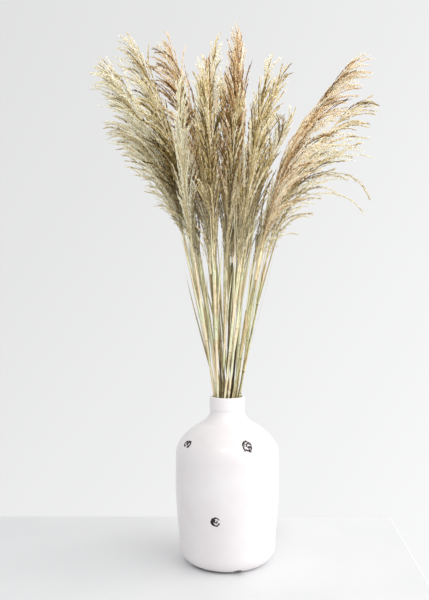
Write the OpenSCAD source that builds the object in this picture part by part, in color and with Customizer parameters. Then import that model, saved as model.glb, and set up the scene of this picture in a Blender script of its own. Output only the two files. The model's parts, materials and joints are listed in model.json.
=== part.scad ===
// Bottle vase in glazed ceramic, with a loose spread of dried grass stems standing in it.
// Millimetres, +Z up. The origin is the centre of the vase's flat foot.

/* [Vase] */
// Height from the foot to the rim
vase_h = 275; // [255:5:320]
// Widest diameter of the body
vase_d = 175; // [155:5:200]
// Diameter of the flat foot
foot_d = 110; // [100:2:118]
// Outside diameter of the neck under the collar
neck_d = 58; // [56:1:66]
// Outside diameter of the collar at the mouth
collar_d = 60; // [58:1:68]
// Height of the collar
collar_h = 21; // [14:1:22]
// Bore of the mouth
mouth_d = 49; // [48.5:0.5:50]
// Thickness of the body wall
wall = 6; // [5:0.5:8]
// Thickness of the floor inside the foot
floor_t = 8; // [6:0.5:10]

/* [Stems] */
// Diameter of one culm
culm_d = 4.2; // [3:0.1:4.4]
// How fast the stems spread, per metre above or below the rim
spread_per_m = 7.5; // [7:0.1:8]
// How fast the bunch of stems twists, per metre
twist_per_m = 6.2; // [6:0.1:7]
// Thickest part of the core of a plume
plume_d = 12; // [6:1:12]

/* [Hidden] */
// three rings of stems, from the outside in: how many, and the way round of the first one, in degrees.
// Each ring goes on clockwise, seen from above.
RINGS = [[10, 180], [10, 198], [5, 216]];
STEM_COUNT = RINGS[0][0] + RINGS[1][0] + RINGS[2][0];

// how far from the vase's axis the stems of each ring cross the plane of the rim: the outer ring
// keeps a gap to the bore of the mouth
mouth_gap = 0.9;
middle_ring_r = 15.6;
inner_ring_r = 9;
RING_R = [(mouth_d - culm_d) / 2 - mouth_gap, middle_ring_r, inner_ring_r];

// the bunch has turned by this much at the height where the ways round are counted
slot_h = 285;
slot_turn = atan2(twist_per_m * slot_h / 1000, 1 + spread_per_m * slot_h / 1000);

// clear space between the lower end of a culm and the floor of the vase
end_gap = 0.8;

// how far a plume keeps to the line of its culm before it bends towards its tip
plume_lead = 0.55;
plume_rings = 12;
plume_sides = 8;
plume_root_d = 4.6;
plume_tip_d = 2;
plume_widest = 0.3;

// the outline of the vase: the rounding of its heel, the height of its widest line as a share of the
// whole height, and how far below the rim the shoulder starts
heel_r = 26;
belly_share = 0.47;
shoulder_drop = 97;

// a point where the shoulder runs straight up into the neck: how far outside the neck and below the
// rim it is, and the way the shoulder goes there
sweep_w = 17;
sweep_drop = 45.5;
shoulder_slope = [8, -4.2];

// straight neck under the collar
neck_run = 3;

// how far the curves of the outline keep to the direction they leave or arrive in
heel_lead = [1.5, 35];
belly_lead = 35;
shoulder_lead = 24;
sweep_lead = 2;
neck_lead = 9;

ROUND = 96;
CURVE = 8;
CULM_ROUND = 32;

CREAM = "cornsilk";
STRAW = "khaki";
OLIVE = "darkkhaki";
RUSSET = "tan";

// one stem a row, ring by ring: height where its plume starts, the tip of its plume, and its colour
STEMS = [
    [540, [-205, -45, 820], CREAM],
    [520, [-180, 85, 925], STRAW],
    [500, [-45, 150, 870], OLIVE],
    [480, [20, 155, 840], OLIVE],
    [480, [150, 125, 780], OLIVE],
    [500, [255, 50, 800], STRAW],
    [520, [200, -85, 815], RUSSET],
    [480, [60, -140, 795], STRAW],
    [490, [-40, -125, 800], STRAW],
    [500, [-75, -115, 775], CREAM],

    [500, [-140, -90, 785], OLIVE],
    [520, [-195, 40, 750], STRAW],
    [540, [-112, 95, 912], RUSSET],
    [480, [-10, 150, 880], OLIVE],
    [500, [115, 140, 885], STRAW],
    [490, [160, 60, 715], OLIVE],
    [480, [220, -30, 700], CREAM],
    [480, [100, -105, 725], OLIVE],
    [470, [15, -160, 745], STRAW],
    [480, [-45, -80, 790], CREAM],

    [490, [-30, -12, 850], RUSSET],
    [520, [-20, 14, 885], STRAW],
    [500, [14, 45, 870], RUSSET],
    [480, [50, 0, 785], OLIVE],
    [500, [18, -30, 885], RUSSET],
];

function two_digits(n) = n < 10 ? str("0", n) : str(n);
function culm_name(i) = str("culm_", two_digits(i + 1));
function plume_name(i) = str("plume_", two_digits(i + 1));

function unit(v) = v / norm(v);

// points along a cubic curve from a to d that leaves towards b and arrives from c
function curve(a, b, c, d) = [
    for (k = [1:CURVE])
        let (t = k / CURVE, u = 1 - t)
            u * u * u * a + 3 * u * u * t * b + 3 * u * t * t * c + t * t * t * d
];

function arc(centre, r, from, to) = [
    for (k = [0:CURVE])
        let (angle = from + (to - from) * k / CURVE)
            centre + r * [cos(angle), sin(angle)]
];

// ---- vase ----

body_r = vase_d / 2;
belly_h = belly_share * vase_h;
shoulder_h = vase_h - shoulder_drop;
sweep = [neck_d / 2 + sweep_w, vase_h - sweep_drop];
neck_foot_h = vase_h - collar_h - neck_run;
lip_r = (collar_d - mouth_d) / 4;
heel_side = [foot_d / 2 + heel_r, heel_r];
collar_bead = (collar_d - neck_d) / 2;

// the outside, from the centre of the foot up to the lip
outside = concat(
    [[0, 0]],
    arc([foot_d / 2, heel_r], heel_r, -90, 0),
    curve(heel_side, heel_side + heel_lead, [body_r, belly_h - belly_lead], [body_r, belly_h]),
    curve(
        [body_r, shoulder_h],
        [body_r, shoulder_h + shoulder_lead],
        sweep + sweep_lead * shoulder_slope,
        sweep
    ),
    curve(
        sweep,
        sweep - shoulder_slope,
        [neck_d / 2, neck_foot_h - neck_lead],
        [neck_d / 2, neck_foot_h]
    ),
    [[collar_d / 2, neck_foot_h + collar_bead]],
    arc([collar_d / 2 - lip_r, vase_h - lip_r], lip_r, 0, 90)
);

// the inside, from the lip down to the centre of the floor: a wall's thickness inside the outside
inside_r = body_r - wall;
inside_sweep = sweep - wall * unit([-shoulder_slope.y, shoulder_slope.x]);
inside_heel_r = heel_r - wall;
inside = concat(
    arc([mouth_d / 2 + lip_r, vase_h - lip_r], lip_r, 90, 180),
    curve(
        [mouth_d / 2, neck_foot_h],
        [mouth_d / 2, neck_foot_h - neck_lead],
        inside_sweep - shoulder_slope,
        inside_sweep
    ),
    curve(
        inside_sweep,
        inside_sweep + sweep_lead * shoulder_slope,
        [inside_r, shoulder_h + shoulder_lead - wall],
        [inside_r, shoulder_h]
    ),
    [[inside_r, belly_h]],
    arc([foot_d / 2, floor_t + inside_heel_r], inside_heel_r, 0, -90),
    [[0, floor_t]]
);

module vase() {
    color("whitesmoke")
        rotate_extrude($fn = ROUND)
            polygon(concat(outside, inside));
}

// ---- stems ----

// Every stem is a straight line of one family that spreads and twists about the vase's axis.
// A plane across the family is always a turned and enlarged copy of the plane of the rim, so no
// two stems meet, and each can be drawn out along its own line.
function ring_of(i, k = 0) = i < RINGS[k][0] ? [k, i] : ring_of(i - RINGS[k][0], k + 1);
function at_rim(i) =
    let (
        ring = ring_of(i),
        around = RINGS[ring[0]][1] - ring[1] * 360 / RINGS[ring[0]][0] - slot_turn
    )
        RING_R[ring[0]] * [cos(around), sin(around)];
function on_stem(i, z) =
    let (
        m = at_rim(i),
        grow = 1 + spread_per_m * (z - vase_h) / 1000,
        turn = twist_per_m * (z - vase_h) / 1000
    )
        [grow * m.x - turn * m.y, turn * m.x + grow * m.y, z];
function stem_way(i) = unit(on_stem(i, vase_h) - on_stem(i, 0));

culm_foot_h = floor_t + end_gap;

module culm(i) {
    foot = on_stem(i, culm_foot_h);
    top = on_stem(i, STEMS[i][0]);
    way = stem_way(i);
    color("palegoldenrod")
        translate(foot)
            rotate([0, acos(way.z), atan2(way.y, way.x)])
                cylinder(d = culm_d, h = norm(top - foot), $fn = CULM_ROUND);
}

// the core of a plume follows a curve that leaves along the culm and ends at the tip
function plume_point(a, b, c, t) = (1 - t) * (1 - t) * a + 2 * t * (1 - t) * b + t * t * c;
function plume_way(a, b, c, t) = unit((1 - t) * (b - a) + t * (c - b));
function plume_r(t) = t < plume_widest
    ? (plume_root_d + (plume_d - plume_root_d) * t / plume_widest) / 2
    : (plume_d + (plume_tip_d - plume_d) * (t - plume_widest) / (1 - plume_widest)) / 2;

module plume(i) {
    root = on_stem(i, STEMS[i][0]);
    tip = STEMS[i][1];
    knee = root + stem_way(i) * plume_lead * norm(tip - root);
    across = unit(cross(stem_way(i), tip - root));
    points = [
        for (k = [0:plume_rings])
            let (t = k / plume_rings, out = cross(across, plume_way(root, knee, tip, t)))
                for (s = [0:plume_sides - 1])
                    let (angle = s * 360 / plume_sides)
                        plume_point(root, knee, tip, t)
                            + plume_r(t) * (cos(angle) * across + sin(angle) * out)
    ];
    ring_ends = [[for (s = [0:plume_sides - 1]) s]];
    far_end = [[for (s = [plume_sides - 1:-1:0]) plume_rings * plume_sides + s]];
    skin = [
        for (k = [0:plume_rings - 1])
            for (s = [0:plume_sides - 1])
                let (
                    a = k * plume_sides + s,
                    b = k * plume_sides + (s + 1) % plume_sides,
                    c = a + plume_sides,
                    d = b + plume_sides
                )
                    each [[a, d, b], [a, c, d]]
    ];
    color(STEMS[i][2])
        polyhedron(points = points, faces = concat(ring_ends, skin, far_end));
}

vase();
for (i = [0:STEM_COUNT - 1]) {
    culm(i);
    plume(i);
}
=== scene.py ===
import json
import math

import bpy
import numpy as np
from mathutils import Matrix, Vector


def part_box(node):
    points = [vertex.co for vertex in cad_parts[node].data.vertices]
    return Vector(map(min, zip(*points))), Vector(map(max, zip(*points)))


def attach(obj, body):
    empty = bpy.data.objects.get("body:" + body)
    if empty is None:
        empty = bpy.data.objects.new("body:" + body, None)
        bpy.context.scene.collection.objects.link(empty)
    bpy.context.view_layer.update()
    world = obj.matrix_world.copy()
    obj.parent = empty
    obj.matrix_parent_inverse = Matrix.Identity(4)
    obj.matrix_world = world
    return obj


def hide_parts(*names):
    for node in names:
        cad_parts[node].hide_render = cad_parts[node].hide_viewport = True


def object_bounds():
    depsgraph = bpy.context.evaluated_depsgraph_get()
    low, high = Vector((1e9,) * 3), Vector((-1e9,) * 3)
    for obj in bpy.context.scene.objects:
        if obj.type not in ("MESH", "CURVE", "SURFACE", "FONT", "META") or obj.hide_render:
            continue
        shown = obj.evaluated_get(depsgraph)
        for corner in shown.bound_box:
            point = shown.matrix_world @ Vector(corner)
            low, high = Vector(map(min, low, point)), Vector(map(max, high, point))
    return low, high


# A white glazed bottle vase with dried plume grasses. Metres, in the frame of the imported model.

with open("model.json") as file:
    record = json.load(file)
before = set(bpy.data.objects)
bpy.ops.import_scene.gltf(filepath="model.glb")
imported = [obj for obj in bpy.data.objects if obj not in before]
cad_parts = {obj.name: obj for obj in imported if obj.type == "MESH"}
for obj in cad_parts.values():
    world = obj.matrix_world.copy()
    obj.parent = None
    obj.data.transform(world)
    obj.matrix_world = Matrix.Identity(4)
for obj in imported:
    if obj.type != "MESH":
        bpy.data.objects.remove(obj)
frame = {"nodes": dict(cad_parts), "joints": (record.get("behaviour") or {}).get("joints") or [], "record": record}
cad_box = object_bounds()

MM = 0.001
UP = np.array([0.0, 0.0, 1.0])

# ---- camera, light and stage ----

CAMERA_AT = (-0.0217, -1.123, 0.438)
CAMERA_LENS = 39.66
CAMERA_NEAR = 0.01

# the brightness of the surroundings: its middle, and how it changes to the right, ahead and upwards
WORLD_LEVEL = 0.90
WORLD_TO_RIGHT = 0.18
WORLD_AHEAD = -0.05
WORLD_UPWARDS = -0.12
WORLD_TINT = (0.998, 1.0, 1.006)

# lights: place, aim, sides in metres of an area light or cone in degrees of a spot, watts, and colour
WINDOW_LIGHT = ((1.7, -0.75, 1.25), (0, 0, 0.4), (3.0, 2.2), 36, (1.0, 0.985, 0.97))
PLUME_LIGHT = ((-0.2, -1.2, 1.95), (0.0, 0.0, 0.79), 29, 68, (1.0, 0.975, 0.91))
BACK_LIGHT = ((-0.45, 1.25, 1.55), (0.0, 0.0, 0.78), 34, 22, (1.0, 0.98, 0.93))
TABLE_FILL = ((0.0, -0.05, 0.6), (0.0, -0.05, 0.0), 50, 0.65, (1, 1, 1))
SPOT_BLEND = 1.0
SPOT_RADIUS = 0.20

TABLE_BACK = 0.217
TABLE_FRONT = -0.75
TABLE_LEFT = -1.1
TABLE_RIGHT_BACK = 0.334
TABLE_RIGHT_FRONT = 0.262
TABLE_THICK = 0.024
TABLE_EDGE = 0.003
TABLE_EDGE_STEPS = 3
TABLE_TONES = [(0.3, (0.78, 0.79, 0.797)), (0.7, (0.815, 0.82, 0.83))]
TABLE_ROUGHNESS = (0.38, 0.5)
TABLE_MOTTLE = 6
TABLE_GRAIN = 300
TABLE_BUMP = 0.0002


def unit(v):
    v = np.asarray(v, float)
    return v / np.maximum(np.linalg.norm(v, axis=-1, keepdims=True), 1e-12)


def link(obj):
    bpy.context.scene.collection.objects.link(obj)
    return obj


def add_camera():
    data = bpy.data.cameras.new("camera")
    data.lens = CAMERA_LENS
    data.clip_start = CAMERA_NEAR
    camera = link(bpy.data.objects.new("camera", data))
    camera.location = CAMERA_AT
    # it looks level, along +Y
    camera.rotation_euler = (math.radians(90), 0, 0)
    bpy.context.scene.camera = camera


def add_light(name, kind, at, towards, size, power, colour):
    data = bpy.data.lights.new(name, kind)
    if kind == "AREA":
        data.shape = "RECTANGLE"
        data.size, data.size_y = size
    else:
        data.spot_size = math.radians(size)
        data.spot_blend = SPOT_BLEND
        data.shadow_soft_size = SPOT_RADIUS
    data.energy = power
    data.color = colour
    light = link(bpy.data.objects.new(name, data))
    light.location = at
    way = unit(np.array(towards) - np.array(at))
    light.rotation_euler = (math.acos(-way[2]), 0, math.atan2(way[1], way[0]) - math.radians(90))
    return light


def add_surroundings():
    world = bpy.data.worlds.new("studio")
    bpy.context.scene.world = world
    world.use_nodes = True
    tree = world.node_tree
    background = tree.nodes["Background"]
    background.inputs["Color"].default_value = (*WORLD_TINT, 1)
    way = tree.nodes.new("ShaderNodeTexCoord").outputs["Generated"]
    slope = tree.nodes.new("ShaderNodeVectorMath")
    slope.operation = "DOT_PRODUCT"
    slope.inputs[1].default_value = (WORLD_TO_RIGHT, WORLD_AHEAD, WORLD_UPWARDS)
    tree.links.new(way, slope.inputs[0])
    level = tree.nodes.new("ShaderNodeMath")
    level.inputs[1].default_value = WORLD_LEVEL
    tree.links.new(slope.outputs["Value"], level.inputs[0])
    tree.links.new(level.outputs[0], background.inputs["Strength"])


def add_lights():
    add_surroundings()
    add_light("window", "AREA", *WINDOW_LIGHT)
    add_light("plume_light", "SPOT", *PLUME_LIGHT)
    add_light("back_light", "SPOT", *BACK_LIGHT)
    bpy.context.scene.view_settings.view_transform = "Standard"


def add_table_fill(table):
    """Softens the shadow round the foot of the vase, and lights nothing but the table."""
    fill = add_light("table_fill", "SPOT", *TABLE_FILL)
    fill.data.use_shadow = False
    only = bpy.data.collections.new("lit_by_table_fill")
    only.objects.link(table)
    fill.light_linking.receiver_collection = only


# ---- meshes ----

# lines more upright than this take the directions across them from X instead of Z
STEEP = 0.9
# husks have this many sides, and are widest at this share of their length
HUSK_SIDES = 3
HUSK_BELLY = 0.36


class Heap:
    """Collects points, faces and a tone for each point, for one mesh."""

    def __init__(self):
        self.points = []
        self.faces = []
        self.tones = []
        self.count = 0

    def add(self, points, faces, tone):
        points = np.asarray(points, float).reshape(-1, 3)
        self.points.append(points)
        for face in faces:
            self.faces.append(np.asarray(face, np.int64) + self.count)
        self.tones.append(np.broadcast_to(tone, len(points)))
        self.count += len(points)

    def mesh(self, name):
        values = {"tone": np.concatenate(self.tones)}
        return make_mesh(name, np.concatenate(self.points), self.faces, values)


def make_mesh(name, points, faces, values=None, smooth=True):
    """A mesh object from points, a list of (n, corners) face arrays, and named values per point."""
    mesh = bpy.data.meshes.new(name)
    corners = np.concatenate([f.ravel() for f in faces])
    sizes = np.concatenate([np.full(len(f), f.shape[1]) for f in faces])
    starts = np.concatenate([[0], np.cumsum(sizes)[:-1]])
    mesh.vertices.add(len(points))
    mesh.vertices.foreach_set("co", points.astype(np.float32).ravel())
    mesh.loops.add(len(corners))
    mesh.loops.foreach_set("vertex_index", corners.astype(np.int32))
    mesh.polygons.add(len(sizes))
    mesh.polygons.foreach_set("loop_start", starts.astype(np.int32))
    mesh.polygons.foreach_set("loop_total", sizes.astype(np.int32))
    mesh.polygons.foreach_set("use_smooth", np.full(len(sizes), smooth))
    for key, value in (values or {}).items():
        layer = mesh.attributes.new(key, "FLOAT", "POINT")
        layer.data.foreach_set("value", np.asarray(value, np.float32))
    mesh.update(calc_edges=True)
    mesh.validate()
    return link(bpy.data.objects.new(name, mesh))


def hand_over(piece, body, node, material):
    """Gives a finished piece its material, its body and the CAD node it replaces."""
    piece.data.materials.append(material)
    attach(piece, body)
    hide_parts(node)


def circle(count):
    """Evenly spaced angles round a full turn."""
    return np.arange(count) * 2 * math.pi / count


def turned(way, aside, angle):
    """way, turned towards aside by an angle, where aside is square to it."""
    return np.cos(angle) * way + np.sin(angle) * aside


def neighbours(count):
    """The numbers of the points in a ring, and for each that of the next point."""
    s = np.arange(count)
    return s, (s + 1) % count


def ring_quads(rings, sides, first=0):
    """Faces between neighbouring rings of points. Where first is a list, each item starts a tube."""
    k = np.arange(rings - 1)[:, None] * sides
    s, n = neighbours(sides)
    quads = np.stack([k + s, k + n, k + sides + n, k + sides + s], axis=-1).reshape(-1, 4)
    return (np.reshape(first, (-1, 1, 1)) + quads).reshape(-1, 4)


def off_line(ways):
    """For each direction, one that is well off it."""
    return np.where(np.abs(ways[..., 2:3]) > STEEP, [1.0, 0, 0], UP)


def across(ways, off):
    """Two directions across each of the ways, the first one square to `off` too."""
    a = unit(np.cross(ways, off))
    return a, np.cross(ways, a)


def add_tubes(heap, lines, radii, tone, sides=3, flat=1.0, roll=0.0):
    """Closed tapering tubes that end in a point. lines is (count, points, 3), and radii has a value
    per point. A flat below 1 makes them blades that much thinner than wide, turned by roll."""
    count, steps = lines.shape[:2]
    radii = np.broadcast_to(radii, (count, steps))
    ways = unit(np.gradient(lines, axis=1))
    # one direction off a whole line, so that its tube doesn't twist
    a, b = across(ways, off_line(ways[:, :1]))
    roll = np.reshape(roll, (-1, 1, 1))
    a, b = turned(a, b, roll), flat * turned(b, -a, roll)
    rings = steps - 1
    around = turned(a[:, :rings, None], b[:, :rings, None], circle(sides)[:, None])
    ring = lines[:, :rings, None] + radii[:, :rings, None, None] * around
    per = rings * sides + 1
    points = np.concatenate([ring.reshape(count, -1, 3), lines[:, -1:]], axis=1)
    first = np.arange(count)[:, None] * per
    quads = ring_quads(rings, sides, first)
    last = first + (rings - 1) * sides
    s, n = neighbours(sides)
    tips = np.stack([last + s, last + n, first + per - 1 + 0 * s], axis=-1).reshape(-1, 3)
    roots = first + s[::-1]
    tone = np.broadcast_to(np.reshape(tone, (-1, 1)), (count, per)).ravel()
    heap.add(points, [quads, tips, roots], tone)


def add_husks(heap, at, way, length, width, tone):
    """Small closed husks that start at `at` and point along `way`."""
    count = len(at)
    way = unit(way)
    a, b = across(way, off_line(way))
    around = turned(a[:, None], b[:, None], circle(HUSK_SIDES)[:, None])
    middle = at + way * (length * HUSK_BELLY)[:, None]
    ring = middle[:, None] + (width / 2)[:, None, None] * around
    tip = at + way * length[:, None]
    points = np.concatenate([at[:, None], ring, tip[:, None]], axis=1)
    per = HUSK_SIDES + 2
    base = np.arange(count)[:, None] * per
    s, n = neighbours(HUSK_SIDES)
    lower = np.stack([base + 0 * s, base + 1 + n, base + 1 + s], axis=-1).reshape(-1, 3)
    upper = np.stack([base + per - 1 + 0 * s, base + 1 + s, base + 1 + n], axis=-1).reshape(-1, 3)
    heap.add(points, [lower, upper], np.repeat(tone, per))


# ---- materials ----


class Shade:
    """A short way to write a node tree."""

    def __init__(self, name):
        self.material = bpy.data.materials.new(name)
        self.material.use_nodes = True
        self.tree = self.material.node_tree
        self.shader = self.tree.nodes["Principled BSDF"]

    def node(self, kind, **values):
        node = self.tree.nodes.new(kind)
        for key, value in values.items():
            setattr(node, key, value)
        return node

    def feed(self, socket, value):
        if isinstance(value, bpy.types.NodeSocket):
            self.tree.links.new(value, socket)
        else:
            socket.default_value = value

    def place(self, stretch=(1, 1, 1)):
        at = self.node("ShaderNodeTexCoord").outputs["Object"]
        if stretch == (1, 1, 1):
            return at
        mapping = self.node("ShaderNodeMapping")
        mapping.inputs["Scale"].default_value = stretch
        self.feed(mapping.inputs["Vector"], at)
        return mapping.outputs["Vector"]

    def noise(self, at, scale, detail=3.0, rough=0.55):
        noise = self.node("ShaderNodeTexNoise")
        self.feed(noise.inputs["Vector"], at)
        noise.inputs["Scale"].default_value = scale
        noise.inputs["Detail"].default_value = detail
        noise.inputs["Roughness"].default_value = rough
        return noise.outputs["Fac"]

    def height(self):
        split = self.node("ShaderNodeSeparateXYZ")
        self.feed(split.inputs[0], self.place())
        return split.outputs["Z"]

    def value(self, name):
        return self.node("ShaderNodeAttribute", attribute_name=name).outputs["Fac"]

    def math(self, operation, a, b=0.0, clamp=False):
        node = self.node("ShaderNodeMath", operation=operation, use_clamp=clamp)
        self.feed(node.inputs[0], a)
        self.feed(node.inputs[1], b)
        return node.outputs[0]

    def spread(self, noise, to_low, to_high):
        """Brings a noise to another range."""
        return self.remap(noise, *NOISE_SPAN, to_low, to_high)

    def vary(self, value, noise, most, clamp=False):
        """Moves a value up or down by up to about `most`, by a noise."""
        return self.math("ADD", value, self.spread(noise, -most, most), clamp)

    def remap(self, value, low, high, to_low, to_high):
        node = self.node("ShaderNodeMapRange")
        self.feed(node.inputs["Value"], value)
        ends = {"From Min": low, "From Max": high, "To Min": to_low, "To Max": to_high}
        for key, end in ends.items():
            node.inputs[key].default_value = end
        return node.outputs["Result"]

    def ramp(self, value, stops):
        node = self.node("ShaderNodeValToRGB")
        ramp = node.color_ramp
        while len(ramp.elements) < len(stops):
            ramp.elements.new(0.5)
        for element, (at, colour) in zip(ramp.elements, stops, strict=True):
            element.position = at
            element.color = (*colour, 1)
        self.feed(node.inputs["Fac"], value)
        return node.outputs["Color"]

    def mix(self, share, a, b, blend="MIX"):
        node = self.node("ShaderNodeMix", data_type="RGBA", blend_type=blend)
        self.feed(node.inputs["Factor"], share)
        for name, value in (("A", a), ("B", b)):
            socket = next(s for s in node.inputs if s.name == name and s.type == "RGBA")
            self.feed(socket, value if isinstance(value, bpy.types.NodeSocket) else (*value, 1))
        return next(s for s in node.outputs if s.type == "RGBA")

    def bump(self, height, depth, strength):
        node = self.node("ShaderNodeBump")
        node.inputs["Strength"].default_value = strength
        node.inputs["Distance"].default_value = depth
        self.feed(node.inputs["Height"], height)
        self.set(Normal=node.outputs["Normal"])

    def set(self, **values):
        for key, value in values.items():
            self.feed(self.shader.inputs[key.replace("_", " ")], value)
        return self.material


# the range that a noise mostly keeps to
NOISE_SPAN = (0.3, 0.7)

# the light that spreads inside the grass: its share, how far it goes in metres, and its colour
GRASS_GLOW = 0.2
GRASS_GLOW_DEPTH = 0.004
GRASS_GLOW_COLOUR = (1.0, 0.8, 0.5)
GRASS_GLOSS = 0.2
GRASS_ROUGHNESS = (0.55, 0.8)
GRASS_FINE = 900
GRASS_FINE_TONE = 0.10
GRASS_PATCH = 60
GRASS_PATCH_TONE = 0.08
GRASS_BUMP = 0.0003
# below the first height the grass is this much paler and greener, and above the second one not at all
LOW_PALE = 0.47
HIGH_PALE = 0.64
PALE_SHARE = 0.5
PALE_GREEN = (0.90, 0.86, 0.62)

CULM_STRIPES = 900
CULM_STRIPE_LENGTHEN = 0.02
CULM_STRIPE_TONE = 0.22
CULM_BLOTCH = 40
CULM_BLOTCH_TONE = 0.12
CULM_HUE = 75
CULM_HUE_LENGTHEN = 0.15
CULM_HUE_SPAN = (0.42, 0.58)
CULM_BUMP = 0.0002
CULM_ROUGHNESS = (0.35, 0.55)
CULM_COLOURS = [
    (0.0, (0.08, 0.045, 0.015)),
    (0.25, (0.27, 0.205, 0.09)),
    (0.6, (0.60, 0.52, 0.30)),
    (1.0, (0.96, 0.90, 0.70)),
]
CULM_GREENER = (0.90, 1.0, 0.92)
CULM_PINKER = (1.0, 0.92, 0.84)

GLAZE_POOL = 14
GLAZE_FINE = 420
CLAY_GRIT = 1500
GLAZE_COLOURS = [(0.3, (0.80, 0.76, 0.765)), (0.7, (0.855, 0.83, 0.845))]
CLAY_COLOURS = [
    (0.3, (0.006, 0.002, 0.003)),
    (0.55, (0.018, 0.008, 0.009)),
    (0.75, (0.15, 0.10, 0.10)),
]
BISCUIT_COLOURS = [(0.3, (0.36, 0.30, 0.26)), (0.7, (0.55, 0.49, 0.43))]
GLAZE_ROUGHNESS = (0.16, 0.26)
CLAY_ROUGHER = 0.6
BISCUIT_ROUGHER = 0.55
GLAZE_BUMP = 0.0016
GLAZE_FINE_SHARE = 0.06
GLAZE_IOR = 1.5
# a chip ends between these values of its cover, which the fine noise moves by up to this much
CHIP_EDGE = (0.42, 0.58)
CHIP_EDGE_NOISE = 0.14


def grass_material(name, colours):
    """Dried husks and threads: tone picks the colour, and noise breaks it up."""
    shade = Shade(name)
    at = shade.place()
    fine = shade.noise(at, GRASS_FINE)
    patch = shade.noise(at, GRASS_PATCH, detail=2)
    tone = shade.vary(shade.value("tone"), fine, GRASS_FINE_TONE)
    tone = shade.vary(tone, patch, GRASS_PATCH_TONE, clamp=True)
    low = shade.remap(shade.height(), LOW_PALE, HIGH_PALE, PALE_SHARE, 0.0)
    stops = list(zip(TONE_STOPS, colours, strict=True))
    colour = shade.mix(low, shade.ramp(tone, stops), PALE_GREEN)
    shade.bump(fine, GRASS_BUMP, strength=0.5)
    shade.shader.subsurface_method = "RANDOM_WALK"
    return shade.set(
        Base_Color=colour,
        Roughness=shade.spread(patch, *GRASS_ROUGHNESS),
        Specular_IOR_Level=GRASS_GLOSS,
        Subsurface_Weight=GRASS_GLOW,
        Subsurface_Radius=GRASS_GLOW_COLOUR,
        Subsurface_Scale=GRASS_GLOW_DEPTH,
    )


def culm_material():
    """Stripes that run along the straw, and blotches; tone picks the colour."""
    shade = Shade("dry_culm")
    stripes = shade.noise(shade.place((1, 1, CULM_STRIPE_LENGTHEN)), CULM_STRIPES)
    blotch = shade.noise(shade.place(), CULM_BLOTCH)
    tone = shade.vary(shade.value("tone"), stripes, CULM_STRIPE_TONE)
    tone = shade.vary(tone, blotch, CULM_BLOTCH_TONE, clamp=True)
    colour = shade.ramp(tone, CULM_COLOURS)
    # some straws are greener and some pinker
    hue = shade.noise(shade.place((1, 1, CULM_HUE_LENGTHEN)), CULM_HUE, detail=1)
    greener = shade.mix(1.0, colour, CULM_GREENER, "MULTIPLY")
    pinker = shade.mix(1.0, colour, CULM_PINKER, "MULTIPLY")
    colour = shade.mix(shade.remap(hue, *CULM_HUE_SPAN, 0.0, 1.0), greener, pinker)
    shade.bump(stripes, CULM_BUMP, strength=0.6)
    return shade.set(Base_Color=colour, Roughness=shade.spread(stripes, *CULM_ROUGHNESS))


def glaze_material():
    """Glossy white glaze that pools, and dark clay where the mask is 1: in chips, and at the foot line and inside,
    where the near-black clay is also painted shade.
    """
    shade = Shade("white_glaze")
    at = shade.place()
    pool = shade.noise(at, GLAZE_POOL)
    fine = shade.noise(at, GLAZE_FINE)
    grit = shade.noise(at, CLAY_GRIT, detail=4, rough=0.7)
    clay_and_shade = shade.vary(shade.value("clay_and_shade"), fine, CHIP_EDGE_NOISE)
    clay_and_shade = shade.remap(clay_and_shade, *CHIP_EDGE, 0.0, 1.0)
    bare = shade.value("bare")
    colour = shade.mix(bare, shade.ramp(pool, GLAZE_COLOURS), shade.ramp(grit, BISCUIT_COLOURS))
    colour = shade.mix(clay_and_shade, colour, shade.ramp(grit, CLAY_COLOURS))
    rough = shade.spread(pool, *GLAZE_ROUGHNESS)
    rough = shade.math("ADD", rough, shade.math("MULTIPLY", clay_and_shade, CLAY_ROUGHER))
    rough = shade.math("ADD", rough, shade.math("MULTIPLY", bare, BISCUIT_ROUGHER), clamp=True)
    height = shade.math("ADD", pool, shade.math("MULTIPLY", fine, GLAZE_FINE_SHARE))
    shade.bump(height, GLAZE_BUMP, strength=0.5)
    return shade.set(Base_Color=colour, Roughness=rough, IOR=GLAZE_IOR)


# ---- vase ----

VASE_HIGH = np.array(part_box("vase")[1])
VASE_H = VASE_HIGH[2]
BODY_R = VASE_HIGH[0]
FOOT_R = 0.055
NECK_R = 0.029
COLLAR_R = 0.030
COLLAR_H = 0.021
# the lower edge of the collar swells out over this height
COLLAR_EASE = 0.0045
MOUTH_R = 0.0245
WALL = 0.006
FLOOR_T = 0.008

# the outline, as in the CAD: rounding of the heel, height of the widest line as a share of the whole,
# and how far below the rim the shoulder starts
HEEL_R = 0.026
BELLY_SHARE = 0.47
SHOULDER_DROP = 0.097
# where the shoulder meets the neck: how far outside it and below the rim, and the shoulder's way there
SWEEP_W = 0.017
SWEEP_DROP = 0.0455
SHOULDER_SLOPE = np.array([0.008, -0.0042])
NECK_RUN = 0.003
# how far the curves keep to the direction they leave or arrive in
HEEL_LEAD = (0.0015, 0.035)
BELLY_LEAD = 0.035
SHOULDER_LEAD = 0.024
SWEEP_LEAD = 2
NECK_LEAD = 0.009


def bezier(a, b, c, d, steps):
    t = np.linspace(0, 1, steps + 1)[1:, None]
    u = 1 - t
    a, b, c, d = (np.array(point) for point in (a, b, c, d))
    return u**3 * a + 3 * u * u * t * b + 3 * u * t * t * c + t**3 * d


def arc(centre, radius, start, end, steps):
    angle = np.radians(np.linspace(start, end, steps + 1))[:, None]
    return np.array(centre) + radius * np.hstack([np.cos(angle), np.sin(angle)])


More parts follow.
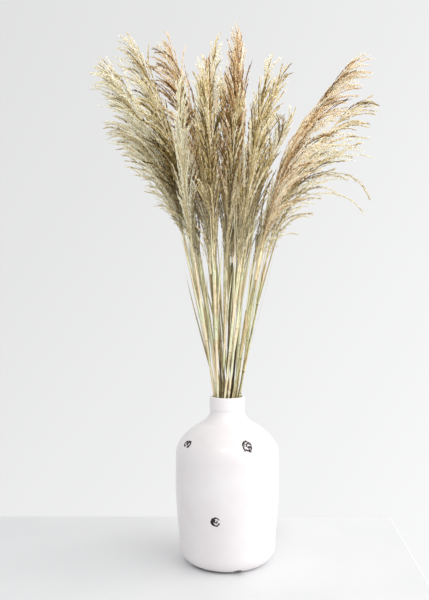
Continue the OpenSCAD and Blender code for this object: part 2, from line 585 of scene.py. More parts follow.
def vase_outline():
    """The outline of the vase as (radius, height), in two runs: the outside from the centre of the
    foot up to the lip, and the inside from the lip down to the centre of the floor."""
    belly = BELLY_SHARE * VASE_H
    shoulder = VASE_H - SHOULDER_DROP
    over = shoulder + SHOULDER_LEAD
    sweep = np.array([NECK_R + SWEEP_W, VASE_H - SWEEP_DROP])
    into_sweep = sweep + SWEEP_LEAD * SHOULDER_SLOPE
    neck_foot = VASE_H - COLLAR_H - NECK_RUN
    ease, collar_foot = neck_foot + COLLAR_EASE / 2, neck_foot + COLLAR_EASE
    lip_r = (COLLAR_R - MOUTH_R) / 2
    heel = np.array([FOOT_R + HEEL_R, HEEL_R])
    outside = [
        [[0, 0]],
        arc((FOOT_R, HEEL_R), HEEL_R, -90, 0, 20),
        bezier(heel, heel + HEEL_LEAD, (BODY_R, belly - BELLY_LEAD), (BODY_R, belly), 24),
        bezier((BODY_R, shoulder), (BODY_R, over), into_sweep, sweep, 24),
        bezier(sweep, sweep - SHOULDER_SLOPE, (NECK_R, neck_foot - NECK_LEAD), (NECK_R, neck_foot), 16),
        bezier((NECK_R, neck_foot), (NECK_R, ease), (COLLAR_R, ease), (COLLAR_R, collar_foot), 8),
        arc((COLLAR_R - lip_r, VASE_H - lip_r), lip_r, 0, 90, 8),
    ]
    inside_r = BODY_R - WALL
    inner = sweep - WALL * unit([-SHOULDER_SLOPE[1], SHOULDER_SLOPE[0]])
    into_inner = inner + SWEEP_LEAD * SHOULDER_SLOPE
    inside = [
        arc((MOUTH_R + lip_r, VASE_H - lip_r), lip_r, 90, 180, 8),
        bezier((MOUTH_R, neck_foot), (MOUTH_R, neck_foot - NECK_LEAD), inner - SHOULDER_SLOPE, inner, 12),
        bezier(inner, into_inner, (inside_r, over - WALL), (inside_r, shoulder), 14),
        [[inside_r, belly]],
        arc((FOOT_R, FLOOR_T + HEEL_R - WALL), HEEL_R - WALL, 0, -90, 10),
        [[0, FLOOR_T]],
    ]
    return np.vstack(outside), np.vstack(inside)


# Chips in the glaze: angle round the vase in degrees, height of the centre, and its strokes. A stroke
# is an arc on the surface in millimetres: its centre, its radius, the angles it goes from and to, and
# half its width at the ends and in the middle.
CHIPS = [
    (-104.4, 0.0886, [
        ((0.6, -0.4), 5.6, 95, 265, 1.0, 2.5), ((0.4, -0.4), 6.6, 262, 345, 0.8, 1.3),
        ((0.0, -0.6), 7.4, 28, 88, 0.6, 1.1), ((-3.0, 2.6), 2.0, -60, 200, 0.7, 1.2),
        ((1.6, 0.2), 2.2, 130, 400, 0.7, 1.1), ((-2.5, -3.0), 2.4, 20, 200, 0.5, 1.0),
    ]),
    (-67.2, 0.2045, [
        ((0.2, 0.4), 6.4, 55, 232, 0.8, 1.5), ((1.6, 0.2), 6.6, -75, 60, 0.6, 1.0),
        ((2.8, 1.0), 3.0, 20, 340, 0.6, 1.0), ((4.4, -1.8), 2.0, 0, 300, 0.6, 0.9),
        ((-1.8, 1.4), 1.7, -60, 200, 0.5, 0.9), ((1.0, -2.8), 3.4, 185, 330, 0.7, 1.2),
        ((-3.6, -6.2), 1.8, 40, 200, 0.5, 0.9), ((4.4, -5.4), 2.4, 150, 310, 0.7, 1.1),
    ]),
    (-147.4, 0.2023, [
        ((-4.4, -0.4), 3.2, 40, 290, 1.1, 1.8), ((3.4, 0.2), 3.8, -110, 120, 1.1, 1.8),
        ((-0.6, 1.4), 2.2, -20, 200, 1.0, 1.5), ((0.2, -2.2), 2.4, 20, 170, 0.9, 1.3),
    ]),
    (-77.0, 0.0048, [
        ((0.0, -22.0), 22.6, 74, 108, 1.0, 2.4), ((4.6, 0.4), 1.8, 120, 330, 0.6, 1.2),
    ]),
]
# how far the edges of a chip wander, in millimetres, and how fast, in radians per millimetre
CHIP_RAG = ((0.42, 1.6), (0.4, 3.5))
# chips keep within this distance of their centre, and are this deep
CHIP_REACH = 0.014
CHIP_DEPTH = 0.0009
# the glaze gives way to clay over this distance, in millimetres
CHIP_SOFT = 0.45
# how deep a point far from every chip lies in one, in millimetres
NO_CHIP = -9.0

# on one side the glaze stops above the table, and the near-black clay there is also a painted contact shadow: from
# and to angle, fade at both ends in degrees, height, raggedness in millimetres, and how fast that changes
FOOT_LINE_FROM = -166
FOOT_LINE_TO = -66
FOOT_LINE_FADE = 18
FOOT_LINE_H = 0.0027
FOOT_LINE_RAG = 0.45
FOOT_LINE_WAVES = 9
# the inside is near-black bare clay from about this far below the rim, which is also painted shade inside the
# mouth
BARE_AND_SHADE_FROM = 0.0010
BARE_AND_SHADE_RAG = 0.7
BARE_AND_SHADE_WAVES = 5
RAG_PACE = 1.3
# the glaze ends at this height above the table, and thins out to bare clay over this distance below
FOOT_BARE_H = 0.0012
FOOT_BARE_FADE = 0.0006

# the wall is dented by up to about this much, from this height up
WOBBLE = 0.00035
WOBBLE_ROUND = 3
WOBBLE_UP = 40
WOBBLE_TERMS = 7
WOBBLE_FROM = 0.004
WOBBLE_FADE = 0.03

# the mesh is fine round the chips, for these shares of their reach up and round, and coarse elsewhere
CHIP_FINE_UP = 0.75
CHIP_FINE_ROUND = 0.8
FINE_STEP = 0.00052
COARSE_STEP = 0.0032
COARSE_TURN = math.radians(2.6)
STEP_GROWTH = 0.35
LEAST_STEP = 0.0002
# above the shoulder, from this far along the outline, the outline's own points are kept too
OUTLINE_KEPT_FROM = 0.200

VASE_SEED = 11
# sizes of the waves in a noise, and what their sum reaches as a share of the root of their number
NOISE_SIZES = (0.6, 1.6)
NOISE_PEAK = 1.3


def spaced(low, high, fine_zones, fine, coarse):
    """Values from low to high, a fine step apart in the zones and up to a coarse step outside."""
    values = [low]
    while values[-1] < high:
        at = values[-1]
        gap = min(max(start - at, at - end, 0.0) for start, end in fine_zones)
        values.append(at + min(coarse, fine + STEP_GROWTH * gap))
    values[-1] = high
    return np.array(values)


def smooth_noise(a, b, scale, rng, waves=9):
    """A smooth random field over two arrays, about -1 to 1."""
    total = np.zeros(np.broadcast(a, b).shape)
    for _ in range(waves):
        angle, phase = rng.uniform(0, 2 * math.pi, 2)
        size = scale * rng.uniform(*NOISE_SIZES)
        total += np.sin((a * math.cos(angle) + b * math.sin(angle)) * size + phase)
    return total / math.sqrt(waves) / NOISE_PEAK


def stroke_cover(u, v, stroke):
    """How deep each point, (u, v) in millimetres, lies in one stroke, negative outside it."""
    (cx, cy), radius, start, end, thin, thick = stroke
    angle = np.degrees(np.arctan2(v - cy, u - cx))
    middle, half = (start + end) / 2, (end - start) / 2
    turn = (angle - middle + 180) % 360 - 180
    held = np.clip(turn, -half, half)
    share = 1 - np.abs(held) / half
    width = thin + (thick - thin) * np.sqrt(share)
    spot = np.radians(held + middle)
    gap = np.hypot(u - cx - radius * np.cos(spot), v - cy - radius * np.sin(spot))
    return width - gap


def outline_rows(outside):
    """Radii and heights along the outside, from the edge of the foot to the lip."""
    length = np.concatenate([[0], np.cumsum(np.linalg.norm(np.diff(outside, axis=0), axis=1))])
    # the foot's centre is left out, so that heights grow along the outline
    heights, lengths = outside[1:, 1], length[1:]
    zones = []
    for _, centre, _ in CHIPS:
        low = max(centre - CHIP_REACH * CHIP_FINE_UP, heights[0])
        high = centre + CHIP_REACH * CHIP_FINE_UP
        zones.append(np.interp([low, high], heights, lengths))
    rows = spaced(length[1], length[-1], zones, FINE_STEP, COARSE_STEP)
    kept = length[length > length[1] + OUTLINE_KEPT_FROM]
    rows = np.unique(np.concatenate([rows, kept]).round(6))
    rows = rows[np.concatenate([[True], np.diff(rows) > LEAST_STEP])]
    return np.interp(rows, length, outside[:, 0]), np.interp(rows, length, outside[:, 1])


def chip_cover(radius, turn, height, rng):
    """How deep each point of the outside lies in a chip, in millimetres, negative outside."""
    cover = np.full(radius.shape, NO_CHIP)
    for angle, centre, strokes in CHIPS:
        side = (turn - math.radians(angle) + math.pi) % (2 * math.pi) - math.pi
        u, v = side * radius / MM, (height - centre) / MM
        near = (np.abs(u) < CHIP_REACH / MM) & (np.abs(v) < CHIP_REACH / MM)
        rag = sum(size * smooth_noise(u, v, pace, rng) for size, pace in CHIP_RAG)
        best = np.full(radius.shape, NO_CHIP)
        for stroke in strokes:
            best = np.maximum(best, stroke_cover(u, v, stroke))
        cover = np.where(near, np.maximum(cover, best + rag), cover)
    return cover


def foot_clay_shadow_cover(turn, height, rng):
    """The same for the strip of near-black clay at the foot, which is also a painted contact shadow, and where
    round the vase it may show.
    """
    degrees = np.degrees(turn)
    fade = np.minimum(degrees - FOOT_LINE_FROM, FOOT_LINE_TO - degrees) / FOOT_LINE_FADE
    rag = FOOT_LINE_RAG * smooth_noise(turn * FOOT_LINE_WAVES, height, RAG_PACE, rng)
    return (FOOT_LINE_H * np.clip(fade, 0, 1) - height) / MM + rag, fade > 0


def build_vase():
    rng = np.random.default_rng(VASE_SEED)
    outside, inside = vase_outline()
    out_r, out_z = outline_rows(outside)
    outer_rows = len(out_r)
    reach = CHIP_REACH * CHIP_FINE_ROUND / BODY_R
    zones = [(math.radians(a) - reach, math.radians(a) + reach) for a, _, _ in CHIPS]
    turns = spaced(-math.pi, math.pi, zones, FINE_STEP / BODY_R, COARSE_TURN)[:-1]
    radius = np.concatenate([out_r, inside[1:-1, 0]])
    height = np.concatenate([out_z, inside[1:-1, 1]])
    rr, tt = np.meshgrid(radius, turns, indexing="ij")
    zz = np.meshgrid(height, turns, indexing="ij")[0]
    # how deep each point lies in a chip or in near-black bare clay, in millimetres; at the foot line and inside
    # that clay is also painted shade
    cover = chip_cover(rr, tt, zz, rng)
    cover[outer_rows:] = NO_CHIP
    # the near-black strip at the foot is bare clay and also a painted contact shadow
    line, shown = foot_clay_shadow_cover(tt, zz, rng)
    cover = np.where(shown, np.maximum(cover, line), cover)
    # the inside below the rim is painted near-black: bare clay, and painted shade inside the mouth
    rag = BARE_AND_SHADE_RAG * smooth_noise(tt * BARE_AND_SHADE_WAVES, zz / MM, RAG_PACE, rng)
    cover[outer_rows:] = ((VASE_H - BARE_AND_SHADE_FROM - zz) / MM + rag)[outer_rows:]
    clay_and_shade = np.clip(0.5 + cover / CHIP_SOFT, 0, 1)
    # the hand-made wobble of the wall, and the clay that lies deeper than the glaze
    wobble = WOBBLE * smooth_noise(WOBBLE_ROUND * np.cos(tt), zz * WOBBLE_UP, 1.0, rng, WOBBLE_TERMS)
    wobble = wobble * np.clip((zz - WOBBLE_FROM) / WOBBLE_FADE, 0, 1)
    wobble[outer_rows:] = 0
    rr = rr - np.maximum(wobble, 0) - CHIP_DEPTH * clay_and_shade * (rr > COLLAR_R)
    points = np.stack([rr * np.cos(tt), rr * np.sin(tt), zz], axis=-1).reshape(-1, 3)
    # the foot and the floor are closed by fans round their centres
    rows, sides = len(radius), len(turns)
    centre_low = len(points)
    points = np.vstack([points, [[0, 0, 0], [0, 0, FLOOR_T]]])
    first, second = neighbours(sides)
    last = (rows - 1) * sides
    low = np.stack([second, first, 0 * first + centre_low], axis=-1)
    high = np.stack([last + first, last + second, 0 * first + centre_low + 1], axis=-1)
    bare = np.clip((FOOT_BARE_H - zz) / FOOT_BARE_FADE, 0, 1)
    bare[outer_rows:] = 0
    values = {
        "clay_and_shade": np.concatenate([clay_and_shade.ravel(), [0, 0]]),
        "bare": np.concatenate([bare.ravel(), [1, 0]]),
    }
    vase = make_mesh("vase_glazed", points, [ring_quads(rows, sides), low, high], values)
    hand_over(vase, "vase", "vase", glaze_material())


# ---- stems ----

STEM_COUNT = 25
# a stem's seed is this and its number
STEM_SEED = 100
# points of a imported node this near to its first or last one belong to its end
CULM_END = 1e-4
TIP_END = 0.0025
# a plume keeps to its culm's line for this share of its length before it bends, as in the CAD
PLUME_LEAD = 0.55
AXIS_STEPS = 48
ANY_TURN = (0, 6.28)
# directions well off every culm and every stalk
OFF_CULM = (0.3, 0.1, 1.0)
OFF_STALK = (0.1, 0.2, 1.0)

CULM_R = 0.0021
CULM_SIDES = 12
CULM_STEP = 0.006
# shares of CULM_R at the foot, this far up, and at the top
CULM_TAPER = (1.0, 0.93, 0.72)
TAPER_FROM = 0.25
# how far a straw wanders from its line, and the waves of that to both sides, in radians per metre
WANDER = 0.00022
WANDER_PACE = ((21, 43), (23, 39))
# the last stem of each ring, and how dark and how pale its straws are; the rings further in are painted darker, as
# painted shade inside the bunch
CULM_TONES = [(10, (0.40, 1.0)), (20, (0.25, 0.9)), (25, (0.0, 0.4))]
# how much the tone differs round a straw, where one side is painted paler and the other darker as painted light
# and shade, and from one length of it to the next
PAINTED_LIT_SIDE = 0.22
SECTION_TONE = 0.14

# nodes: gaps between them, how many at most, how far all are shifted, and least distance to the plume
NODE_GAP = (0.085, 0.15)
NODE_COUNT = 8
NODE_SHIFT = (-0.03, 0.02)
NODE_TO_PLUME = 0.03
# how much thicker and darker they are, over what height, and where the mesh has rows, in millimetres
NODE_SWELL = 0.20
NODE_SWELL_H = 0.0011
NODE_DARK = 0.38
NODE_DARK_H = 0.0009
NODE_DARK_UNDER = 0.0004
NODE_ROWS = np.array([-2.2, -1.2, -0.6, 0, 0.6, 1.2, 2.4])

# sheaths and leaves begin above the lower height, leaves below the upper one
LEAVES_LOW = 0.295
LEAVES_HIGH = 0.430
SHEATH_LENGTH = (0.045, 0.10)
SHEATH_TO_PLUME = 0.004
# the mesh has rows this near to a sheath's top, in millimetres, where it adds this share to the culm's
# radius, and this share of that at its foot
SHEATH_EDGE = np.array([-0.1, 0.1])
SHEATH_MORE = 0.28
SHEATH_FOOT = 0.75
SHEATH_PALE = 0.14
LEAVES = 5
LEAF_STEPS = 12
# leaves: degrees off the culm, length, width, thickness as a share of it, bend and how it varies, tone
LEAF_OPENING = (0.8, 5.5)
LEAF_LENGTH = (0.10, 0.24)
LEAF_WIDTH = (0.0018, 0.0050)
LEAF_FLAT = 0.12
LEAF_BEND = 0.14
LEAF_BEND_VARY = (-0.5, 1)
LEAF_TONE = (0.82, 0.22)
LEAF_DARKEST = 0.15
# the width of a leaf along its length, as shares of both
LEAF_OUTLINE = ([0, 0.08, 0.3, 0.75, 1], [0.45, 0.8, 1.0, 0.6, 0.0])

# the stalk's radius along its length
STALK_R = ([0, 0.4, 1], [0.0016, 0.0010, 0.0003])
STALK_SIDES = 6
STALK_TONE = 0.55
# branches: the share of the stalk that bears them, how they crowd towards its root, their whorls and
# how tight those are from 0 to 1, and the radians from one branch to the next
BRANCHED_SHARE = 0.88
BRANCH_CROWD = 1.12
WHORLS = 7
WHORL_PULL = 0.75
BRANCH_TURN = 2.4
# each is moved up by up to this share of a place, and round by up to this many radians
PLACE_VARY = 0.9
TURN_VARY = 0.8
# how much of its plume's opening, reach and droop a branch gets
OPENING_VARY = (0.6, 1.35)
LENGTH_VARY = (0.7, 1.15)
DROOP_VARY = (0.5, 1.3)
BRANCH_STEPS = 14
BRANCH_R = (0.00042, 0.00012)
# how much shorter branches are at the top, as a share and a power, and their length at the root
BRANCH_SHORTER = 0.82
BRANCH_SHORTER_POWER = 1.5
BRANCH_AT_ROOT = ([0, 0.06], [0.6, 1.0])
# a droop of 1 draws a branch, and a stray one, this much aside and down, and SPREAD_OUT draws all
DROOP_OUT = 0.55
DROOP_DOWN = 0.45
SPREAD_OUT = 0.25
STRAY_OUT = 0.2
STRAY_DOWN = 0.8
# 1 bends a branch evenly more and more, and a larger number leaves the bend to its end
BEND_LATE = 1.6
# how much paler than their plume branches are, how they differ, and how much darker than their threads
BRANCH_PALE = 0.09
BRANCH_VARY = 0.29
BRANCH_CORE = 0.05
# they are paler by TOP_PALE for each share of the way up above TOP_PALE_FROM, and darker below it
TOP_PALE = 0.24
TOP_PALE_FROM = 0.45
# this share of them is painted dark, as painted shade deep in the lower plume, in a plume of tone 0 and of tone 1,
# and DARK_LEFT of that further up
DARK_SHARE = (0.52, 0.0)
DARK_UP_TO = (0.35, 0.75)
DARK_LEFT = 0.15
DARK_TONE = (0.06, 0.06)

# threads: where on a branch they start and over what share they spread, distance, least number,
# degrees off the branch, share of its pull, radius, and how much their tone differs
THREADS_FROM = 0.04
THREADS_OVER = 0.92
THREAD_GAP = 0.006
THREADS_LEAST = 6
THREAD_STEPS = 4
THREAD_OPENING = (1, 5.5)
THREAD_PULL = 0.35
THREAD_R = (0.00020, 0.00010)
THREAD_VARY = 0.13
THREAD_DARKEST = 0.05
# their length along a branch, which is full on branches from FULL_BRANCH, and how it varies
THREAD_LENGTH = ([0, 0.15, 0.5, 1], [0.024, 0.028, 0.024, 0.010])
FULL_BRANCH = 0.08
THREAD_LENGTH_VARY = (0.6, 1.25)
# they are painted this much darker at the root of a branch, as painted shade deep inside the plume, fading out
# over this share of it
INNER_SHADE = 0.30
INNER_SHADE_TO = 0.35

# husks: how many on a thread, degrees off it, length, width, and how much their tone differs
HUSKS = 5
HUSK_OPENING = (3, 17)
HUSK_LENGTH = (0.0048, 0.0080)
HUSK_WIDTH = (0.0009, 0.0015)
HUSK_VARY = 0.11

# the model may pass the CAD model's box by this share of each side and this much more, and the
# middle lines of branches and threads stop short of that
BOX_SHARE = 0.03
BOX_MORE = 0.010
BRANCH_SPARE = 0.012
THREAD_SPARE = 0.008
# no branch is shortened to less than this share, and moves shorter than NO_REACH don't count
LEAST_KEPT = 0.05
NO_REACH = 1e-7

# colours from dark to light for each kind of plume, at these tones
TONE_STOPS = (0.0, 0.3, 0.6, 1.0)
TONES = {
    "plume_cream": [(0.13, 0.072, 0.020), (0.54, 0.39, 0.145), (0.95, 0.82, 0.51), (1.0, 0.97, 0.76)],
    "plume_straw": [(0.075, 0.038, 0.008), (0.44, 0.30, 0.085), (0.92, 0.755, 0.41), (1.0, 0.97, 0.80)],
    "plume_olive": [(0.052, 0.027, 0.005), (0.33, 0.222, 0.058), (0.84, 0.675, 0.33), (1.0, 0.96, 0.76)],
    "plume_russet": [(0.085, 0.034, 0.008), (0.50, 0.265, 0.085), (0.92, 0.66, 0.36), (1.0, 0.93, 0.72)],
}

# per stem: number of branches, reach in metres, opening in degrees, droop, the way round of the droop
# in degrees from +X, and tone from 0 dark to 1 pale
STYLE = {
    1: (116, 0.14, 11, 1.0, 180, 0.84),
    2: (100, 0.15, 10, 0.9, 172, 0.66),
    3: (66, 0.115, 9, 0.25, 110, 0.42),
    4: (66, 0.115, 9, 0.25, 70, 0.42),
    5: (40, 0.085, 4, 0.3, 0, 0.5),
    6: (40, 0.165, 11, 1.5, 0, 0.62),
    7: (80, 0.165, 8, 1.3, -8, 0.72),
    8: (80, 0.11, 10, 0.3, -40, 0.5),
    9: (60, 0.105, 9, 0.4, 200, 0.42),
    10: (84, 0.1, 7, 0.3, 0, 0.9),
    11: (84, 0.125, 11, 0.8, 190, 0.32),
    12: (106, 0.14, 13, 1.1, 182, 0.74),
    13: (124, 0.15, 13, 0.95, 178, 0.42),
    14: (74, 0.12, 9, 0.3, 20, 0.42),
    15: (96, 0.125, 11, 0.35, 30, 0.42),
    16: (30, 0.13, 10, 0.9, 5, 0.62),
    17: (22, 0.165, 12, 1.6, -4, 0.68),
    18: (56, 0.1, 7, 0.8, 175, 0.46),
    19: (52, 0.105, 7, 0.2, -60, 0.5),
    20: (60, 0.105, 8, 0.2, 200, 0.42),
    21: (72, 0.115, 8, 0.2, 170, 0.5),
    22: (82, 0.13, 8, 0.4, 0, 0.54),
    23: (92, 0.125, 9, 0.3, 185, 0.4),
    24: (58, 0.105, 9, 0.25, 0, 0.5),
    25: (124, 0.125, 8, 0.3, 215, 0.36),
}

# stray branches: share of the way up, way round in degrees from +X, opening in degrees, length, droop
STRAYS = {
    1: [
        (0.1, 180, 22, 0.125, 0.5), (0.2, 186, 20, 0.13, 0.5),
        (0.3, 174, 20, 0.12, 0.5), (0.45, 180, 22, 0.1, 0.5),
        (0.58, 184, 22, 0.085, 0.5), (0.68, 20, 14, 0.09, 0.3),
        (0.74, 178, 24, 0.065, 0.5), (0.8, 40, 12, 0.07, 0.3),
    ],
    2: [
        (0.5, 184, 20, 0.11, 0.3), (0.6, 178, 22, 0.1, 0.3),
        (0.68, 182, 24, 0.09, 0.3), (0.76, 176, 26, 0.075, 0.3),
        (0.72, 10, 12, 0.08, 0.2),
    ],
    6: [(0.1, 0, 24, 0.075, 0.9), (0.22, 5, 20, 0.12, 1.6)],
    12: [(0.12, 180, 26, 0.08, 0.9), (0.3, 180, 22, 0.12, 0.6), (0.44, 176, 20, 0.105, 0.6)],
    13: [
        (0.42, 186, 20, 0.13, 0.4), (0.5, 178, 18, 0.12, 0.4),
        (0.56, 180, 22, 0.11, 0.4), (0.64, 184, 20, 0.1, 0.4),
        (0.7, 176, 26, 0.09, 0.4), (0.7, 0, 12, 0.09, 0.2),
    ],
    17: [(0.42, -5, 34, 0.155, 1.7), (0.08, 10, 28, 0.085, 1.0), (0.6, 0, 22, 0.14, 2.2)],
}


def named(kind, i):
    return f"{kind}_{i:02d}"


def node_points(name):
    return np.array([v.co for v in frame["nodes"][name].data.vertices], float)


def stem_line(i):
    """Foot, top and way of a culm, and the knee and tip of its plume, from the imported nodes."""
    joint = next(j for j in frame["joints"] if j["name"] == named("lift", i))
    way = unit(joint["axis"])
    culm = node_points(named("culm", i))
    reach = culm @ way
    foot = culm[reach < reach.min() + CULM_END].mean(0)
    top = culm[reach > reach.max() - CULM_END].mean(0)
    plume = node_points(named("plume", i))
    gap = np.linalg.norm(plume - top, axis=1)
    tip = plume[gap > gap.max() - TIP_END].mean(0)
    knee = top + way * PLUME_LEAD * np.linalg.norm(tip - top)
    return foot, top, way, knee, tip


def plume_axis(root, knee, tip):
    """Points along the stalk of a plume, and its direction at each."""
    t = np.linspace(0, 1, AXIS_STEPS)[:, None]
    points = (1 - t) ** 2 * root + 2 * t * (1 - t) * knee + t * t * tip
    ways = unit((1 - t) * (knee - root) + t * (tip - knee))
    return points, ways


def bending_lines(start, heading, pull, length, steps):
    """Lines that leave along heading and bend more and more towards pull. All inputs are per line."""
    step = (length / (steps - 1))[:, None]
    at, way = start.copy(), unit(heading)
    lines, ways = [at], [way]
    for k in range(1, steps):
        share = k / (steps - 1)
        way = unit(way + pull * share**BEND_LATE * ((1 + BEND_LATE) / (steps - 1)))
        at = at + way * step
        lines.append(at)
        ways.append(way)
    return np.stack(lines, 1), np.stack(ways, 1)


def keep_inside(lines, spare):
    """Shrinks lines towards their starts to stay, by spare, inside the CAD model's box grown by BOX_SHARE and
    BOX_MORE.

    Returns them, and the share of each that is left.
    """
    low, high = (np.array(v) for v in cad_box)
    slack = BOX_SHARE * (high - low) + BOX_MORE - spare
    start = lines[:, :1]
    reach = lines - start
    room = np.where(reach > 0, high + slack - start, low - slack - start)
    share = np.where(np.abs(reach) > NO_REACH, room / np.where(reach == 0, 1, reach), 1)
    share = np.clip(share.min(axis=(1, 2)), LEAST_KEPT, 1)
    return start + reach * share[:, None, None], share


def square_to(way, v):
    """The direction of v, turned square to way."""
    return unit(v - (v * way).sum(-1, keepdims=True) * way)


def spots_along(lines, ways, row, share):
    """Points and directions at a share of the length of lines[row], for arrays of the same shape."""
    at = share * (lines.shape[1] - 1)
    low = np.minimum(np.floor(at).astype(int), lines.shape[1] - 2)
    more = (at - low)[..., None]
    return lines[row, low] * (1 - more) + lines[row, low + 1] * more, ways[row, low]


def add_leaves(heap, foot, way, low, rng):
    """Dry narrow blades that leave the culm above the height low and stay close to it."""
    spread = (np.arange(LEAVES) + rng.uniform(0, 1, LEAVES)) / LEAVES
    starts = foot + (low + (LEAVES_HIGH - LEAVES_LOW) * spread)[:, None] * way
    angle = np.radians(rng.uniform(*LEAF_OPENING, LEAVES))[:, None]
    ways = np.broadcast_to(way, (LEAVES, 3))
    away = square_to(ways, rng.normal(size=ways.shape))
    pull = LEAF_BEND * away * rng.uniform(*LEAF_BEND_VARY, (LEAVES, 1))
    length = rng.uniform(*LEAF_LENGTH, LEAVES)
    lines, _ = bending_lines(starts, turned(ways, away, angle), pull, length, LEAF_STEPS)
    outline = np.interp(np.linspace(0, 1, LEAF_STEPS), *LEAF_OUTLINE)
    half = rng.uniform(*LEAF_WIDTH, (LEAVES, 1)) / 2
    tone = np.clip(rng.normal(*LEAF_TONE, LEAVES), LEAF_DARKEST, 1)
    add_tubes(heap, lines, half * outline, tone, 4, LEAF_FLAT, roll=rng.uniform(0, math.pi, LEAVES))


def build_culm(i, foot, top, way, material, rng):
    """A jointed straw: swollen dark nodes, and above the vase a sheath over each, and leaves."""
    length = np.linalg.norm(top - foot)
    knots = np.cumsum(rng.uniform(*NODE_GAP, NODE_COUNT)) + rng.uniform(*NODE_SHIFT)
    knots = knots[knots < length - NODE_TO_PLUME]
    free = (LEAVES_LOW - foot[2]) / way[2]
    sheath_from = knots[knots > free]
    sheath_to = sheath_from + rng.uniform(*SHEATH_LENGTH, len(sheath_from))
    sheath_to = np.minimum(sheath_to, length - SHEATH_TO_PLUME)
    rows = np.linspace(0, length, int(length / CULM_STEP))
    extra = [k + NODE_ROWS * MM for k in knots] + [k + SHEATH_EDGE * MM for k in sheath_to]
    rows = np.unique(np.concatenate([rows, *extra]))
    taper = np.interp(rows, [0, TAPER_FROM, length], CULM_TAPER)
    swell = np.zeros_like(rows)
    dark = np.zeros_like(rows)
    for k in knots:
        swell += NODE_SWELL * np.exp(-(((rows - k) / NODE_SWELL_H) ** 2))
        dark += np.exp(-(((rows - k + NODE_DARK_UNDER) / NODE_DARK_H) ** 2))
    sheathed = np.zeros_like(rows)
    for low, high in zip(sheath_from, sheath_to, strict=True):
        rise = SHEATH_FOOT + (1 - SHEATH_FOOT) * (rows - low) / (high - low)
        sheathed += (rows > low) * (rows < high) * rise
    turn = circle(CULM_SIDES)
    a, b = across(way, OFF_CULM)
    centre = foot + rows[:, None] * way
    for aside, paces, phases in zip((a, b), WANDER_PACE, rng.uniform(*ANY_TURN, (2, 2)), strict=True):
        waves = sum(np.sin(rows * pace + phase) for pace, phase in zip(paces, phases, strict=True))
        centre = centre + (WANDER * waves / 2)[:, None] * aside
    size = CULM_R * (np.minimum(taper * (1 + swell), 1.0) + SHEATH_MORE * sheathed)
    ring = centre[:, None] + size[:, None, None] * turned(a, b, turn[:, None])
    heap = Heap()
    count = len(rows)
    first = np.arange(CULM_SIDES)
    ends = np.array([first[::-1], (count - 1) * CULM_SIDES + first])
    section = rng.uniform(-SECTION_TONE, SECTION_TONE, len(knots) + 1)
    # straws of the rings further in are painted darker, as painted shade
    tone = rng.uniform(*next(tones for last, tones in CULM_TONES if i <= last))
    tone = tone + section[np.searchsorted(knots, rows)]
    tone = tone - NODE_DARK * np.clip(dark, 0, 1) + SHEATH_PALE * sheathed
    # one side of the straw is painted paler and the other darker, as painted light and shade, turned a random way
    # round
    side = PAINTED_LIT_SIDE * np.cos(turn + rng.uniform(*ANY_TURN))
    heap.add(ring, [ring_quads(count, CULM_SIDES), ends], (tone[:, None] + side[None]).ravel())
    add_leaves(heap, foot, way, free, rng)
    straw = heap.mesh(named("straw", i))
    hand_over(straw, named("stem", i), named("culm", i), material)


